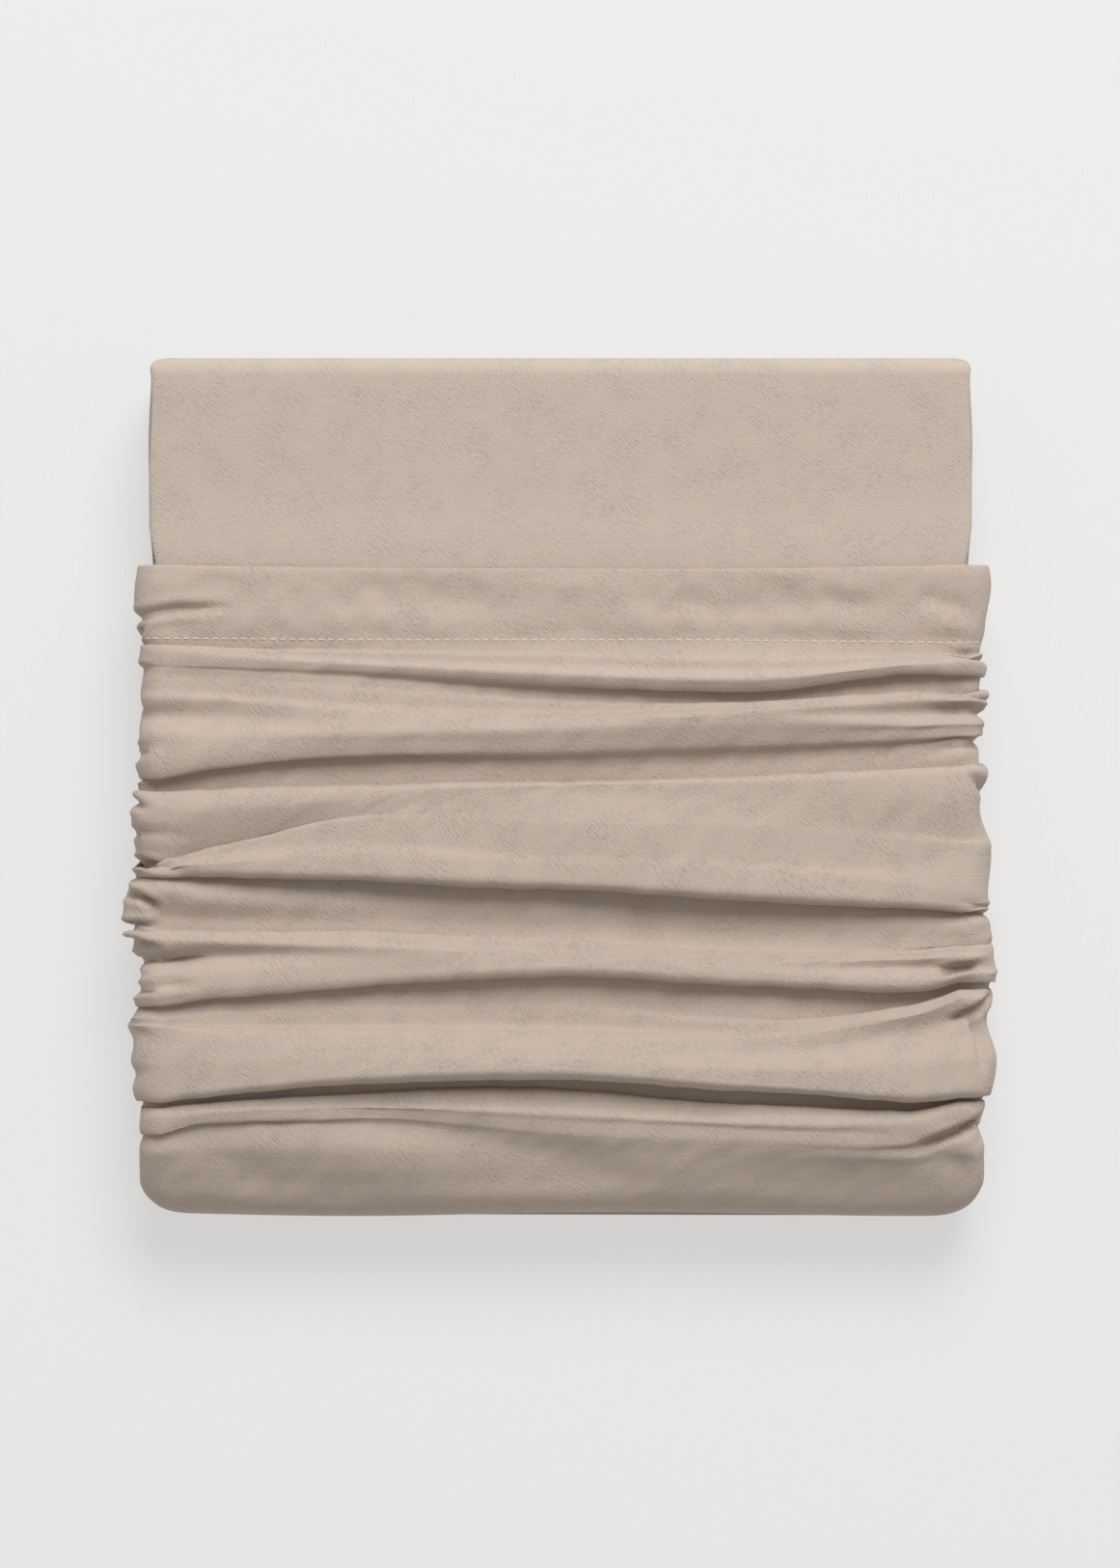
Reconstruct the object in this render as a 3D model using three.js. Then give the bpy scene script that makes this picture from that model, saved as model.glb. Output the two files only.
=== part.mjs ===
import * as THREE from 'three';

// Millimetres, +Z up. The pack lies flat, the bare end of the cover towards +Y and the closed end of
// the slip towards -Y.

// The cover is folded lengthwise into a strip, and the strip back and forth into layers.
const stripThickness = 7.2;
const layerGap = 0.5;
const coverLift = 2.4;
const coverCentreX = 0.2;
const layerHalfWidths = [166.2, 169.2, 170, 170, 169.2, 167.6];
const bareEnds = [175.6, 177, 178.4];
const hiddenEnds = [-157, -168, -163, -145];
const bareCornerRadius = 5;
const hiddenCornerRadius = 12;
const stripEdgeRound = 2.6;
const sagFrom = 94;
const sagTo = 122;
const runStops = [-120, -50, 20, sagFrom, 101, 108, 115, sagTo, 150];

// The slip is a bag of thin cloth pushed together along its length.
const wall = 1.2;
const hemThickness = 2;
const slack = 0.5;
const slipHalfWidth = 172.6;
const shoulderRadius = 8;
const heelRadius = 6;
const layerPitch = stripThickness + layerGap;
const coverTop = coverLift + layerHalfWidths.length * layerPitch - layerGap;
const floorTop = coverTop + slack + wall;

// Lines across the slip are given where they cross these lines along the length of the pack.
const stations = [-172, -152, -85, 0, 85, 152, 172];

// Lines across the slip from its mouth to the closed end, a value a station: where the line lies, its height
// over the cover, and how far it stands off at the left and right sides. A drop is the lower edge of a fold
// and a rise the upper edge of one: each has a foot with its own height and stand-off, the edge reaches
// over that foot, and the cloth turns flat a little beyond the edge.
const hemRowCount = 5;
const rows = [
  { kind: 'soft', y: [92, 91.6, 90.8, 90.4, 90.4, 91.6, 92],
    height: [1.6, 1.4, 1.2, 1.2, 1.2, 1.4, 1.6], side: [2.6, 5] },
  { kind: 'soft', y: [88.6, 88.4, 87.4, 87, 87.2, 88, 88.6],
    height: [2.2, 2.1, 1.8, 1.6, 1.6, 2, 2.2], side: [3, 5.8] },
  { kind: 'soft', y: [78.4, 78, 77.6, 78.4, 76.8, 78.4, 79.2],
    height: [2.4, 2.2, 1.5, 1.9, 1.3, 1.5, 1.8], side: [3.8, 5.4] },
  { kind: 'soft', y: [68, 68, 68.4, 68, 68, 67.2, 67.2],
    height: [2.2, 2.4, 2.6, 2.4, 2.5, 2.2, 2.4], side: [2.4, 4.4] },
  { kind: 'soft', y: [61.6, 61.6, 61, 61, 60.8, 60, 59.8],
    height: [1.6, 1.7, 1.8, 2, 1.7, 1.5, 1.4], side: [1.6, 3] },
  { kind: 'rise', y: [59.2, 58, 54.8, 52.8, 51.2, 54.4, 55.6],
    height: [5.1, 4.9, 4.6, 5.6, 6.1, 5.6, 5.4], low: [0.7, 0.9, 1.5, 2.8, 3.9, 2.4, 1.7],
    side: [2.2, 3.7], foot: [0.3, 1.9],
    reach: [1.4, 1.4, 1, 0, 0, 0.6, 1], turn: [1.6, 1.8, 2.6, 4, 4, 2.4, 2] },
  { kind: 'soft', y: [55.6, 54, 51.2, 48.8, 45.6, 50.8, 51.6],
    height: [5.9, 5.7, 6.3, 8.5, 9.8, 8.8, 7.8], side: [2.5, 3.8] },
  { kind: 'drop', y: [49.6, 48.8, 45.2, 41.6, 39.6, 46.4, 46.4],
    height: [5.7, 5.6, 5, 5.9, 9, 8.5, 7.3], low: [5.7, 5.6, 4.5, 2.2, 1.2, 0.7, 0.7],
    side: [2.9, 3.9], foot: [0.3, 1.3],
    reach: [0, 0, 0, 0.3, 2.2, 2.4, 2.2], turn: [4, 4, 4, 5, 4.4, 3, 2.6] },
  { kind: 'rise', y: [44.8, 43.6, 40, 36.8, 36.8, 40, 39.2],
    height: [5.7, 5.5, 4.4, 3.9, 7.3, 8.1, 7.8], low: [5.7, 5.5, 4.1, 2.3, 1.5, 1, 1],
    side: [0.4, 5.4], foot: [0.3, 0.4],
    reach: [0, 0, 0, 0, 0.6, 1.6, 1.6], turn: [6, 6, 6, 6, 4, 2.4, 2.2] },
  { kind: 'soft', y: [38.4, 37.6, 34, 32.4, 33.2, 35.6, 35.6],
    height: [6.1, 6.3, 6.6, 8.1, 9.5, 8.8, 8.3], side: [0.4, 5.3] },
  { kind: 'soft', y: [30, 29.6, 28.4, 29.6, 31.2, 30.4, 30.8],
    height: [3.7, 4.4, 8.3, 9.6, 10, 5.9, 4.4], side: [0.4, 2.1] },
  { kind: 'soft', y: [20.8, 20, 22.4, 26.4, 28.4, 25.6, 26],
    height: [7.1, 8.5, 10.2, 10.4, 10.1, 8.5, 7.8], side: [0.4, 4.2] },
  { kind: 'drop', y: [3.6, 7.6, 13.2, 14.8, 16.8, 20, 21.2],
    height: [7.3, 8.8, 9.5, 7.8, 7.6, 7.1, 6.8], low: [1.7, 1, 0.7, 0.5, 0.5, 1.7, 2.4],
    side: [2.2, 3.8], foot: [0.8, 1.3],
    reach: [2.2, 2.2, 1.6, 0.2, 0, 0.6, 1], turn: [6, 7, 7, 9, 9, 4, 3] },
  { kind: 'soft', y: [1.8, 4, 8, 8.8, 10.8, 14.4, 15.2],
    height: [1, 0.6, 0.5, 0.5, 0.6, 1.7, 2.4], side: [3.9, 0.4] },
  { kind: 'rise', y: [-0.8, -0.4, 1.2, 3.2, 4.8, 7.6, 8.4],
    height: [8.1, 9.3, 9.8, 9.8, 9.8, 9.3, 8.8], low: [1, 0.6, 0.5, 0.5, 0.6, 1.2, 1.7],
    side: [4.6, 4.5], foot: [2.9, 1.1],
    reach: 2.4, turn: 2.2 },
  { kind: 'soft', y: [-9.6, -8.8, -4.8, -2.4, -3.2, -4, -4.8],
    height: [9.8, 11, 11, 10.7, 10.7, 11, 10.5], side: [4.8, 0.4] },
  { kind: 'rise', y: [-31.2, -25.6, -13.6, -8.8, -8.8, -27.2, -38.4],
    height: [8.5, 8.8, 9.8, 10.9, 11, 8.8, 7.8], low: [2, 3.4, 8.8, 10.7, 10.9, 8.1, 6.1],
    side: [4.1, 2], foot: [2.7, 0.5],
    reach: [1.8, 1.2, 0, 0, 0, 0, 0], turn: [1.6, 3, 8, 10, 10, 6, 5] },
  { kind: 'soft', y: [-33.6, -31.6, -27.2, -24, -27.2, -38.4, -45.6],
    height: [9.8, 11.2, 12.9, 13.7, 14.2, 12, 10.2], side: [4.6, 5] },
  { kind: 'drop', y: [-37.2, -37.2, -38, -42.4, -46.8, -50.8, -52.4],
    height: [9.3, 11.2, 13.4, 14.6, 14.6, 12.2, 10.2], low: [2, 1.2, 0.5, 0.5, 0.5, 1, 1.7],
    side: [3.7, 6.2], foot: [2.3, 4.6],
    reach: 3, turn: 3.6 },
  { kind: 'soft', y: [-42, -45.2, -47.2, -50.4, -54.4, -56.8, -57.6],
    height: [7.3, 6.1, 2.7, 1.2, 1.2, 3.2, 4.9], side: [6.5, 5.6] },
  { kind: 'soft', y: [-54.4, -55.6, -55.2, -56, -60, -62.4, -62.4],
    height: [1.7, 1.2, 0.7, 1.5, 2.2, 2.9, 3.9], side: [9, 6.4] },
  { kind: 'rise', y: [-58.4, -59.2, -60, -63.6, -68, -67.6, -65.6],
    height: [8.8, 8.8, 7.3, 5.4, 5.6, 6.6, 7.1], low: [1.7, 1.2, 0.7, 2.2, 3.2, 3.4, 3.9],
    side: [7.7, 7.3], foot: [6.3, 5.5],
    reach: [2.2, 2.2, 1.6, 0, 0, 0, 0.4], turn: [2.4, 2.4, 3.4, 5, 5, 4, 3] },
  { kind: 'soft', y: [-63.2, -63.6, -65.6, -68.8, -71.6, -70.8, -69.6],
    height: [10.2, 10.2, 9.8, 8.3, 8.5, 8.5, 8.3], side: [7.2, 7.5] },
  { kind: 'soft', y: [-72.4, -69.6, -68, -70.4, -74, -74.4, -74],
    height: [3.9, 4.9, 8.8, 9.3, 9.8, 6.6, 5.6], side: [0.4, 8.2] },
  { kind: 'soft', y: [-78.4, -76.8, -74.4, -72.8, -76.8, -78.8, -76.8],
    height: [8.3, 9.5, 10.2, 10.2, 11, 10.2, 9.5], side: [0.6, 9.2] },
  { kind: 'drop', y: [-90.8, -87.6, -82.4, -77.6, -82.4, -85.6, -80.8],
    height: [9.3, 10, 10.5, 10.7, 11.2, 10.7, 9.8], low: [3.7, 2.4, 1.5, 1, 0.7, 0.7, 1.2],
    side: [4, 8.9], foot: [2.6, 6.8],
    reach: [2, 2.4, 2.4, 2.4, 2.6, 2.6, 2.4], turn: [5, 5, 4, 3.4, 3.4, 3.4, 3] },
  { kind: 'rise', y: [-95.2, -92.8, -90.4, -90.4, -96.8, -89.6, -83.6],
    height: [5.6, 3.9, 3.2, 3, 5.4, 8.5, 9], low: [4.6, 3.5, 2.9, 2.7, 2.7, 1.2, 1.7],
    side: [7.3, 7], foot: [5.9, 5.6],
    reach: [0, 0, 0, 0, 0.3, 1.8, 2.2], turn: [4, 6, 7, 7, 6, 2.6, 2] },
  { kind: 'soft', y: [-98.4, -100, -100.8, -100.8, -102.8, -94, -87.2],
    height: [9.8, 8.5, 7.8, 7.8, 8.3, 11, 11.2], side: [7.1, 6.8] },
  { kind: 'soft', y: [-105.6, -106.8, -107.2, -107.2, -109.2, -100.8, -96.8],
    height: [10, 10.7, 10.7, 10.7, 9.5, 8.1, 7.3], side: [2.9, 4.4] },
  { kind: 'soft', y: [-116, -115.2, -112.8, -112, -116.8, -115.2, -112.8],
    height: [11, 12.2, 13.4, 14.6, 14.6, 12.9, 12.2], side: [4.9, 8.3] },
  { kind: 'drop', y: [-130.4, -128, -122.4, -121.2, -126.4, -129.6, -127.6],
    height: [10.5, 12.2, 14.2, 15.6, 15.1, 13.4, 12], low: [3.7, 2.2, 0.6, 0.4, 0.4, 0.5, 1],
    side: [4.4, 6.7], foot: [1.5, 4.4],
    reach: [3, 4, 4.4, 4.4, 4.4, 4, 3], turn: 3.8 },
  { kind: 'rise', y: [-132.4, -130.8, -128, -128, -133.6, -133.6, -129.6],
    height: [6.6, 6.3, 4.9, 3.9, 5.6, 8.1, 8.3], low: [3.4, 2.4, 1.5, 1, 1, 1, 1.5],
    side: [1.3, 3.9], foot: [0.3, 2.5],
    reach: [0.8, 0.8, 0.2, 0, 0.4, 1.8, 2], turn: [2, 2.4, 4, 6, 4, 2.6, 2.2] },
  { kind: 'soft', y: [-136.4, -134, -132.4, -135.2, -139.2, -138, -133.2],
    height: [7.6, 7.6, 6.8, 6.1, 6.6, 8.5, 8.8], side: [1.4, 3.5] },
  { kind: 'drop', y: [-143.6, -138.8, -137.2, -142, -145.2, -147.2, -139.2],
    height: [7.1, 7.3, 6.3, 5.5, 5.6, 6.8, 7.6], low: [3.4, 3.7, 5.7, 5.4, 5.4, 3.9, 3.2],
    side: [1.8, 2.2], foot: [0.4, 0.8],
    reach: [1.2, 1, 0, 0, 0, 0.6, 1], turn: [3, 3, 4, 5, 5, 4, 2.6] },
  { kind: 'soft', y: [-149.6, -148, -147.2, -148.8, -150.4, -152.4, -149.6],
    height: [3.2, 3.4, 3.7, 3.7, 3.7, 3.4, 3.2], side: [2.2, 3.7] },
];

// Rows that round the closed end: position and level of the upper and the lower cloth, and the stand-off
// left on top and at the sides.
const endCornerRadius = 17;
const endRows = [
  { yTop: -156, zTop: 47.6, yLow: -150, zLow: 0, height: 2, side: [2.4, 3.8] },
  { yTop: -163, zTop: 43.4, yLow: -156, zLow: 0, height: 1, side: [2.4, 3.8] },
  { yTop: -169.6, zTop: 38.4, yLow: -162, zLow: 0.2, height: 0.4, side: [2, 3] },
  { yTop: -174.6, zTop: 32.6, yLow: -168, zLow: 2, height: 0, side: [1.6, 2] },
  { yTop: -177.4, zTop: 26, yLow: -172.6, zLow: 4.8, height: 0, side: [0.9, 1] },
  { yTop: -178.5, zTop: 19.5, yLow: -176.2, zLow: 8.2, height: 0, side: [0.3, 0.3] },
  { yTop: -178.8, zTop: 14, yLow: -178.4, zLow: 12.4, height: 0, side: [0, 0] },
];

const lerp = THREE.MathUtils.lerp;
const smoothstep = THREE.MathUtils.smoothstep;

// Value at x of a smooth curve through one value a station, or the one value that holds all across.
function across(values, x) {
  if (!Array.isArray(values)) return values;
  const last = stations.length - 1;
  const at = THREE.MathUtils.clamp(x, stations[0], stations[last]);
  let i = 0;
  while (i < last - 1 && at > stations[i + 1]) i += 1;
  const slope = (k) => {
    const a = Math.max(k - 1, 0);
    const b = Math.min(k + 1, last);
    return (values[b] - values[a]) / (stations[b] - stations[a]);
  };
  const span = stations[i + 1] - stations[i];
  const t = (at - stations[i]) / span;
  const rise = 3 * t * t - 2 * t * t * t;
  const pull = t * (1 - t) * span;
  return lerp(values[i], values[i + 1], rise) + pull * ((1 - t) * slope(i) - t * slope(i + 1));
}

// Columns round the section of the slip: over the top, down the right side, under, and up the left side.
// Each says which part of the section it is on, how far it is on the side, and how far it is pressed flat.
function sectionColumns() {
  const columns = [];
  const topCount = 21;
  const soleCount = 7;
  for (let i = 0; i < topCount; i += 1) {
    columns.push({ part: 'top', f: (2 * i) / (topCount - 1) - 1, onSide: 0, pressed: 0 });
  }
  const shoulder = [[67.5, 0.25], [45, 0.6], [20, 0.9]];
  const flank = [[0.12, 0], [0.55, 0.25]];
  const heel = [[8, 0.85], [45, 1]];
  shoulder.forEach(([a, s]) => columns.push({ part: 'shoulder', f: 1, a, onSide: s, pressed: 0 }));
  flank.forEach(([g, p]) => columns.push({ part: 'flank', f: 1, g, onSide: 1, pressed: p }));
  heel.forEach(([a, p]) => columns.push({ part: 'heel', f: 1, a, onSide: 1, pressed: p }));
  for (let i = 0; i < soleCount; i += 1) {
    columns.push({ part: 'sole', f: 1 - (2 * i) / (soleCount - 1), onSide: 0, pressed: 1 });
  }
  heel.reverse().forEach(([a, p]) => columns.push({ part: 'heel', f: -1, a, onSide: 1, pressed: p }));
  flank.reverse().forEach(([g, p]) => columns.push({ part: 'flank', f: -1, g, onSide: 1, pressed: p }));
  shoulder.reverse().forEach(([a, s]) => {
    columns.push({ part: 'shoulder', f: -1, a, onSide: s, pressed: 0 });
  });
  return columns;
}

// Point of a rounded section and its outward direction, both in x and z.
function sectionPoint(column, half, zTop, zLow) {
  const { part, f } = column;
  const r = Math.min(shoulderRadius, 0.45 * (zTop - zLow));
  const q = Math.min(heelRadius, 0.45 * (zTop - zLow));
  const angle = THREE.MathUtils.degToRad(column.a ?? 0);
  const c = Math.cos(angle);
  const s = Math.sin(angle);
  if (part === 'top') return { x: f * (half - r), z: zTop, nx: 0, nz: 1 };
  if (part === 'shoulder') return { x: f * (half - r + r * c), z: zTop - r + r * s, nx: f * c, nz: s };
  if (part === 'flank') return { x: f * half, z: lerp(zTop - r, zLow + q, column.g), nx: f, nz: 0 };
  if (part === 'heel') return { x: f * (half - q + q * c), z: zLow + q - q * s, nx: f * c, nz: -s };
  return { x: f * (half - q), z: zLow, nx: 0, nz: -1 };
}

// A line along the length at a column: as traced on top, straight from edge to edge underneath.
function lineAt(values, column) {
  const traced = across(values, column.f * stations[stations.length - 1]);
  const straight = lerp(values[0], values[values.length - 1], (column.f + 1) / 2);
  return lerp(traced, straight, column.pressed);
}

// Height on top turning into the stand-off at the sides, none where the cloth lies pressed.
function heightAt(column, heights, standOff) {
  const over = Math.max(across(heights, column.f * stations[stations.length - 1]), 0.2);
  const beside = standOff[column.f < 0 ? 0 : 1];
  return lerp(over, beside, column.onSide) * (1 - column.pressed);
}

// The nodes of one line at a column: the line itself, or the crest, edge and foot of a fold.
function rowNodes(i, column) {
  const row = rows[i];
  const y = lineAt(row.y, column);
  const high = heightAt(column, row.height, row.side);
  if (row.kind === 'soft') return [{ y, h: high }];
  const x = column.f * stations[stations.length - 1];
  const low = heightAt(column, row.low, row.foot);
  const opened = THREE.MathUtils.clamp((high - low) / 4, 0, 1) * lerp(1, 0.5, column.onSide);
  const toward = row.kind === 'drop' ? 1 : -1;
  const room = Math.abs(lineAt(rows[i - toward].y, column) - y);
  const behind = Math.abs(lineAt(rows[i + toward].y, column) - y);
  const over = Math.min(across(row.reach, x), 0.6 * room) * opened - 0.15 * behind * (1 - opened);
  const turn = Math.min(across(row.turn, x), 0.75 * room);
  const crest = { y: y + toward * turn, h: high };
  const edge = { y, h: lerp(low, high, 0.62) };
  const foot = { y: y + toward * over, h: low };
  return toward > 0 ? [crest, edge, foot] : [foot, edge, crest];
}

// All rows of the slip at one column, from the mouth to the closed end, with the cloth thickness there.
function columnRows(column) {
  const nodes = [];
  const put = (y, h, thickness, half, zTop, zLow) => {
    const p = sectionPoint(column, half, zTop, zLow);
    nodes.push({ at: new THREE.Vector3(p.x + p.nx * h, y, p.z + p.nz * h), thickness });
  };
  rows.forEach((row, i) => {
    const thickness = i < hemRowCount - 1 ? hemThickness : wall;
    rowNodes(i, column).forEach(({ y, h }) => put(y, h, thickness, slipHalfWidth, floorTop, 0));
  });
  const end = endRows[endRows.length - 1].yTop;
  endRows.forEach((row) => {
    const past = THREE.MathUtils.clamp(endCornerRadius + end - row.yTop, 0, endCornerRadius);
    const half = slipHalfWidth - endCornerRadius + Math.sqrt(endCornerRadius ** 2 - past ** 2);
    const z = sectionPoint(column, half, row.zTop, row.zLow).z;
    const y = lerp(row.yLow, row.yTop, (z - row.zLow) / (row.zTop - row.zLow));
    const h = lerp(row.height, row.side[column.f < 0 ? 0 : 1], column.onSide) * (1 - column.pressed);
    put(y, h, wall, half, row.zTop, row.zLow);
  });
  return nodes;
}

function meshOf(name, points, faces, colour) {
  const geometry = new THREE.BufferGeometry();
  geometry.setAttribute('position', new THREE.Float32BufferAttribute(points.flatMap((p) => p.toArray()), 3));
  geometry.setIndex(faces.flat());
  geometry.computeVertexNormals();
  const material = new THREE.MeshStandardMaterial({ color: colour, roughness: 0.9, metalness: 0 });
  const mesh = new THREE.Mesh(geometry, material);
  mesh.name = name;
  return mesh;
}

// A closed sheet: the outer grid of rows and columns, the same grid set inwards by the thickness of the
// cloth, a rim round the mouth, and a cap on the closed end of both.
function makeSlip() {
  const grid = sectionColumns().map(columnRows);
  const columnCount = grid.length;
  const rowCount = grid[0].length;
  const outer = [];
  const inner = [];
  for (let r = 0; r < rowCount; r += 1) {
    for (let c = 0; c < columnCount; c += 1) {
      const { at, thickness } = grid[c][r];
      const right = grid[(c + 1) % columnCount][r].at;
      const left = grid[(c + columnCount - 1) % columnCount][r].at;
      const next = grid[c][Math.min(r + 1, rowCount - 1)].at;
      const back = grid[c][Math.max(r - 1, 0)].at;
      const along = next.clone().sub(back);
      const round = right.clone().sub(left);
      const normal = along.cross(round).normalize();
      outer.push(at);
      inner.push(at.clone().addScaledVector(normal, -thickness));
    }
  }
  const middle = (ring) => ring.reduce((sum, p) => sum.add(p), new THREE.Vector3()).divideScalar(ring.length);
  const points = [...outer, ...inner, middle(outer.slice(-columnCount)), middle(inner.slice(-columnCount))];
  const inside = outer.length;
  const outerMiddle = points.length - 2;
  const innerMiddle = points.length - 1;
  const faces = [];
  for (let c = 0; c < columnCount; c += 1) {
    const d = (c + 1) % columnCount;
    for (let r = 0; r + 1 < rowCount; r += 1) {
      const a = r * columnCount + c;
      const b = r * columnCount + d;
      const e = a + columnCount;
      const g = b + columnCount;
      faces.push([a, e, g], [a, g, b]);
      faces.push([inside + a, inside + g, inside + e], [inside + a, inside + b, inside + g]);
    }
    const end = (rowCount - 1) * columnCount;
    faces.push([c, d, inside + d], [c, inside + d, inside + c]);
    faces.push([outerMiddle, end + d, end + c], [innerMiddle, inside + end + c, inside + end + d]);
  }
  return meshOf('gathered_slip', points, faces, 0xb9a794);
}

// The centre line of the strip through all its layers, with a half turn at each fold.
function stripPath() {
  const path = [];
  const turn = layerPitch / 2;
  const outerTurn = turn + stripThickness / 2;
  const count = layerHalfWidths.length;
  const bareAt = (i) => bareEnds[Math.floor(i / 2)] - outerTurn;
  const hiddenAt = (i) => hiddenEnds[Math.floor((i + 1) / 2)] + (i === 0 || i === count - 1 ? 0 : outerTurn);
  const turnSteps = 6;
  for (let i = 0; i < count; i += 1) {
    const outward = i % 2 === 0;
    const from = outward ? hiddenAt(i) : bareAt(i);
    const to = outward ? bareAt(i) : hiddenAt(i);
    const z = coverLift + stripThickness / 2 + i * layerPitch;
    const stops = outward ? runStops : [...runStops].reverse();
    [from, ...stops, to].forEach((y) => {
      path.push({ y, z, ny: 0, nz: outward ? 1 : -1, half: layerHalfWidths[i] });
    });
    if (i + 1 === count) break;
    const sign = outward ? 1 : -1;
    for (let k = 1; k < turnSteps; k += 1) {
      const angle = (Math.PI * k) / turnSteps;
      path.push({
        y: to + sign * turn * Math.sin(angle),
        z: z + turn - turn * Math.cos(angle),
        ny: -Math.sin(angle),
        nz: sign * Math.cos(angle),
        half: lerp(layerHalfWidths[i], layerHalfWidths[i + 1], k / turnSteps),
      });
    }
  }
  return path;
}

// Outline across the strip: flat faces and softly rounded edges, as a share of the width inside the edges
// and offsets at the edges.
function stripOutline() {
  const outline = [];
  [-1, -0.5, 0, 0.5].forEach((share) => outline.push({ share, edge: 0, up: -1 }));
  [-90, -45, 0, 45].forEach((a) => {
    const angle = THREE.MathUtils.degToRad(a);
    outline.push({ share: 1, edge: Math.cos(angle), up: Math.sin(angle) });
  });
  [1, 0.5, 0, -0.5].forEach((share) => outline.push({ share, edge: 0, up: 1 }));
  [90, 45, 0, -45].forEach((a) => {
    const angle = THREE.MathUtils.degToRad(a);
    outline.push({ share: -1, edge: -Math.cos(angle), up: Math.sin(angle) });
  });
  return outline;
}

// How far a rounded corner draws the edge in at y.
function cornerInset(y) {
  const inset = (past, radius) => {
    const d = THREE.MathUtils.clamp(past, 0, radius);
    return radius - Math.sqrt(radius * radius - d * d);
  };
  const bare = bareEnds[bareEnds.length - 1] - bareCornerRadius;
  const hidden = Math.min(...hiddenEnds) + hiddenCornerRadius;
  return inset(y - bare, bareCornerRadius) + inset(hidden - y, hiddenCornerRadius);
}

function makeCover() {
  const path = stripPath();
  const outline = stripOutline();
  const points = [];
  path.forEach(({ y, z, ny, nz, half }) => {
    outline.forEach(({ share, edge, up }) => {
      const py = y + ny * up * (stripThickness / 2);
      const pz = z + nz * up * (stripThickness / 2);
      const flat = half - stripEdgeRound - cornerInset(py);
      const sag = coverLift * smoothstep(py, sagFrom, sagTo);
      points.push(new THREE.Vector3(coverCentreX + share * flat + edge * stripEdgeRound, py, pz - sag));
    });
  });
  const n = outline.length;
  const faces = [];
  for (let k = 0; k + 1 < path.length; k += 1) {
    for (let i = 0; i < n; i += 1) {
      const a = k * n + i;
      const b = k * n + ((i + 1) % n);
      faces.push([a, b + n, b], [a, a + n, b + n]);
    }
  }
  const last = (path.length - 1) * n;
  for (let i = 0; i < n / 2 - 1; i += 1) {
    const j = n - 1 - i;
    faces.push([i, j - 1, j], [i, i + 1, j - 1]);
    faces.push([last + i, last + j, last + j - 1], [last + i, last + j - 1, last + i + 1]);
  }
  return meshOf('folded_cover', points, faces, 0xc3b4a7);
}

const part = new THREE.Group();
part.name = 'crumpled_duvet_cover';
part.add(makeCover(), makeSlip());

export default part;
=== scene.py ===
import math

import bpy
import numpy as np
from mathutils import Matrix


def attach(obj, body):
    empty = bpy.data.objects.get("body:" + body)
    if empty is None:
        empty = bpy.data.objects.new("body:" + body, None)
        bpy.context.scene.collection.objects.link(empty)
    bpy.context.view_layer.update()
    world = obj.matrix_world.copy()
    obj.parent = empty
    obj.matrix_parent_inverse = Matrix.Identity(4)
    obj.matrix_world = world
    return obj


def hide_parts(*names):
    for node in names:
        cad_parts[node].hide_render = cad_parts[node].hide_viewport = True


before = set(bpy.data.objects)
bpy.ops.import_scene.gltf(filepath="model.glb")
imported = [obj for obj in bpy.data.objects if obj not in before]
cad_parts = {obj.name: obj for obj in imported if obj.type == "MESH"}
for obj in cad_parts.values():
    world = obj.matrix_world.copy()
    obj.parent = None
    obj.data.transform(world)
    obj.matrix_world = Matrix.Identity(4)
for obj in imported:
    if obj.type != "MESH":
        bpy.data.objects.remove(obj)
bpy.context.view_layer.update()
metre = 0.001  # the tables below are in millimetres

# sizes that the cover and the slip share
pack = {
    "stripThickness": 7.2,
    "layerGap": 0.5,
    "layers": 6,
    "lift": 2.4,
    "slack": 0.5,
    "wall": 1.2,
}
layerPitch = pack["stripThickness"] + pack["layerGap"]
coverTop = pack["lift"] + pack["layers"] * layerPitch - pack["layerGap"]
floorTop = coverTop + pack["slack"] + pack["wall"]


def smoothStep(low, high, value):
    # 0 below low, 1 above high, 3t^2 - 2t^3 between
    t = np.clip((value - low) / (high - low), 0, 1)
    return t * t * (3 - 2 * t)


def mix(a, b, t):
    return a + (b - a) * t


def waveField(u, v, waves):
    # sum of plane sine waves: amplitude * sin(2 pi (u cos d + v sin d) / length + phase)
    total = np.zeros(np.broadcast(u, v).shape)
    for length, direction, amplitude, phase in waves:
        d = math.radians(direction)
        total += amplitude * np.sin(2 * math.pi * (u * math.cos(d) + v * math.sin(d)) / length + phase)
    return total


def randomWaves(seed, count, lengths, directions, amplitude):
    # waves with lengths, directions and phases drawn evenly from the given ranges
    rng = np.random.default_rng(seed)
    rows = zip(
        rng.uniform(*lengths, count),
        rng.uniform(*directions, count),
        rng.uniform(0, 2 * math.pi, count),
    )
    return [(length, direction, amplitude, phase) for length, direction, phase in rows]


def gridFaces(rows, columns, closed):
    # quads of a grid of points, with columns joined round where closed
    r, c = np.meshgrid(np.arange(rows - 1), np.arange(columns if closed else columns - 1), indexing="ij")
    d = (c + 1) % columns
    corners = [r * columns + c, (r + 1) * columns + c, (r + 1) * columns + d, r * columns + d]
    return np.stack(corners, -1).reshape(-1, 4)


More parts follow.
